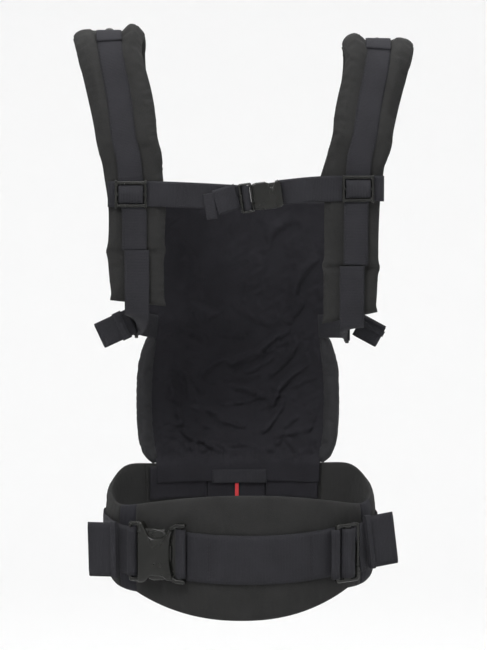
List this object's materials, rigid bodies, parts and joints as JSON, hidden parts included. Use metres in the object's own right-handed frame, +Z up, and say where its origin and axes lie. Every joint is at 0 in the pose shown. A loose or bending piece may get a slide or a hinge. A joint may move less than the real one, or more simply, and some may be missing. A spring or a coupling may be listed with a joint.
{
  "type": "soft baby carrier",
  "caption": "Soft structured baby carrier with a padded waist belt, a curved seat panel, padded shoulder straps and a sliding chest strap, closed by side-release buckles.",
  "frame": {"origin": "middle of the waist ring, half way up its webbing: where the wearer's waist is", "axes": "+Z up; +Y the way the wearer faces, so the seat panel is on the +Y side; +X the wearer's right"},
  "size_m": [0.3348, 0.2328, 0.5756],
  "materials": {
    "canvas": "plain-weave cotton canvas, charcoal with an olive cast, matte",
    "lining": "fine cotton poplin lining, blue-black, matte and creased",
    "webbing": "woven polyester webbing, dark navy, low sheen",
    "plastic": "moulded acetal, near black, satin",
    "label": "plain red woven tape"
  },
  "bodies": {
    "carrier": {"lumbar_pad": "canvas", "belt_end_strip_left": "webbing", "belt_end_strip_right": "webbing", "waist_wing_left": "canvas", "waist_wing_right": "canvas", "belt_base": "canvas", "seat_flap_left": "lining", "seat_flap_right": "lining", "base_tab": "webbing", "care_label": "label", "panel_lining": "lining", "panel_shell": "canvas", "seat_edge_left": "canvas", "seat_edge_right": "canvas", "neck_support": "canvas", "neck_button_left": "plastic", "neck_button_right": "plastic", "shoulder_pad_left": "canvas", "strap_webbing_left": "webbing", "lower_webbing_left": "webbing", "side_tab_left": "webbing", "side_tail_left": "webbing", "side_keeper_left": "webbing", "hood_snap_left": "plastic", "shoulder_pad_right": "canvas", "strap_webbing_right": "webbing", "lower_webbing_right": "webbing", "side_tab_right": "webbing", "side_tail_right": "webbing", "side_keeper_right": "webbing", "hood_snap_right": "plastic", "waist_webbing_centre": "webbing", "waist_buckle_housing": "plastic", "waist_adjuster": "plastic", "waist_webbing_left": "webbing", "waist_webbing_right": "webbing", "waist_tail_left": "webbing", "waist_keeper_left": "webbing", "waist_tail_right": "webbing", "waist_keeper_right": "webbing"},
    "chest_strap": {"chest_slider_left": "plastic", "chest_slider_right": "plastic", "chest_webbing_left": "webbing", "chest_webbing_right": "webbing", "chest_buckle_housing": "plastic"},
    "chest_plug": {"chest_buckle_plug": "plastic", "chest_tail": "webbing", "chest_keeper": "webbing"},
    "chest_prong_upper": {"chest_buckle_prong_upper": "plastic"},
    "chest_prong_lower": {"chest_buckle_prong_lower": "plastic"},
    "waist_plug": {"waist_buckle_plug": "plastic"},
    "waist_prong_upper": {"waist_buckle_prong_upper": "plastic"},
    "waist_prong_lower": {"waist_buckle_prong_lower": "plastic"},
    "side_adjuster_left": {"side_adjuster_left": "plastic"},
    "side_adjuster_right": {"side_adjuster_right": "plastic"}
  },
  "joints": [
    {"name": "chest_strap_height", "type": "slide", "parent": "carrier", "child": "chest_strap", "axis": [0, 0, 1], "range_m": [-0.04, 0.012]},
    {"name": "chest_buckle_release", "type": "slide", "parent": "chest_strap", "child": "chest_plug", "axis": [-0.9903, 0, -0.1392], "range_m": [0, 0.025], "deforming": ["chest_webbing_left", "chest_buckle_prong_upper", "chest_buckle_prong_lower"]},
    {"name": "chest_squeeze_upper", "type": "hinge", "parent": "chest_plug", "child": "chest_prong_upper", "pos_m": [0.0094, -0.0627, 0.3582], "axis": [0, 1, 0], "range_deg": [0, 6], "stiffness_Nm_per_rad": 0.005},
    {"name": "chest_squeeze_lower", "type": "hinge", "parent": "chest_plug", "child": "chest_prong_lower", "pos_m": [0.0116, -0.0627, 0.3422], "axis": [0, 1, 0], "range_deg": [-6, 0], "stiffness_Nm_per_rad": 0.005},
    {"name": "waist_buckle_release", "type": "slide", "parent": "carrier", "child": "waist_plug", "axis": [0.9397, -0.342, 0], "range_m": [0, 0.035], "deforming": ["waist_webbing_centre", "waist_buckle_prong_upper", "waist_buckle_prong_lower"]},
    {"name": "waist_squeeze_upper", "type": "hinge", "parent": "waist_plug", "child": "waist_prong_upper", "pos_m": [-0.06935, -0.0972, 0.0263], "axis": [-0.342, -0.9397, 0], "range_deg": [0, 6], "stiffness_Nm_per_rad": 0.02},
    {"name": "waist_squeeze_lower", "type": "hinge", "parent": "waist_plug", "child": "waist_prong_lower", "pos_m": [-0.06935, -0.0972, -0.0133], "axis": [-0.342, -0.9397, 0], "range_deg": [-6, 0], "stiffness_Nm_per_rad": 0.02},
    {"name": "side_adjuster_left_tilt", "type": "hinge", "parent": "carrier", "child": "side_adjuster_left", "pos_m": [-0.104, 0.0105, 0.222], "axis": [0, 0, -1], "range_deg": [0, 25]},
    {"name": "side_adjuster_right_tilt", "type": "hinge", "parent": "carrier", "child": "side_adjuster_right", "pos_m": [0.106, 0.0105, 0.216], "axis": [0, 0, 1], "range_deg": [0, 25]}
  ],
  "couplings": [
    {"joint": "chest_squeeze_lower", "follows": "chest_squeeze_upper", "ratio": -1},
    {"joint": "waist_squeeze_lower", "follows": "waist_squeeze_upper", "ratio": -1}
  ]
}
